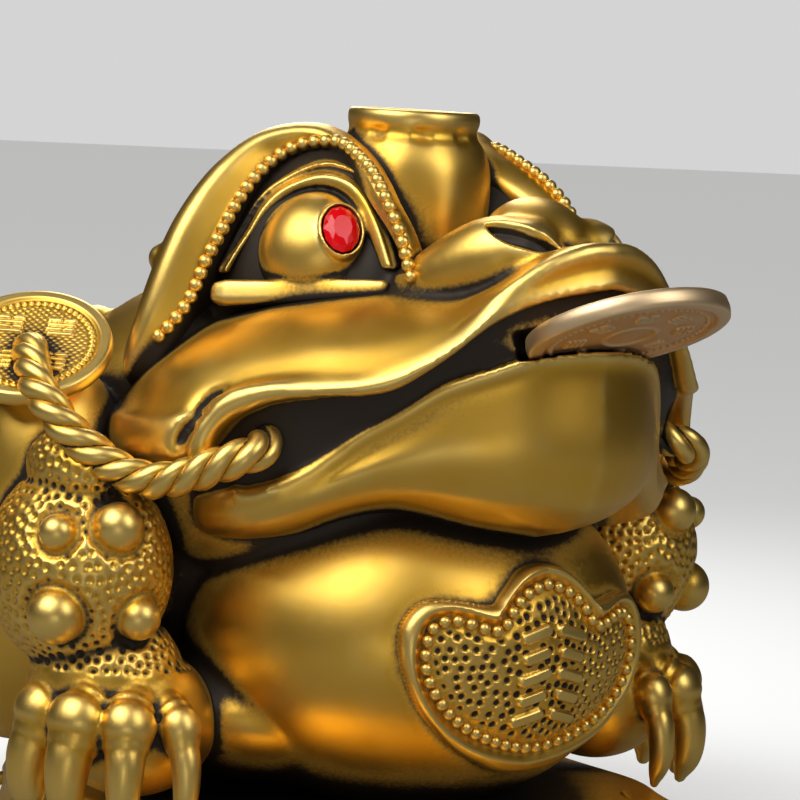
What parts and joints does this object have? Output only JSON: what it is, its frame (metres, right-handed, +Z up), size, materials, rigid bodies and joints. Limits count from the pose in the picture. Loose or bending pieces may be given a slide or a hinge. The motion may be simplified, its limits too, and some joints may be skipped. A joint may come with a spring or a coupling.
{
  "type": "money toad figure",
  "caption": "Cast brass money toad with red stone eyes and a loose coin in its mouth, on a low heaped base.",
  "frame": {"origin": "centre of the underside", "axes": "+Z up, -Y the way the toad faces, +X the toad's left"},
  "size_m": [0.15, 0.1512, 0.1238],
  "materials": {
    "antique_brass": "satin brass with a dark patina left in the hollows",
    "coin_brass": "matt pinkish brass, worn bright on the rim",
    "red_glass": "polished faceted red glass"
  },
  "bodies": {
    "root": {"toad_casting": "antique_brass", "mouth_coin": "coin_brass", "right_eye_stone": "red_glass", "left_eye_stone": "red_glass"}
  },
  "joints": []
}
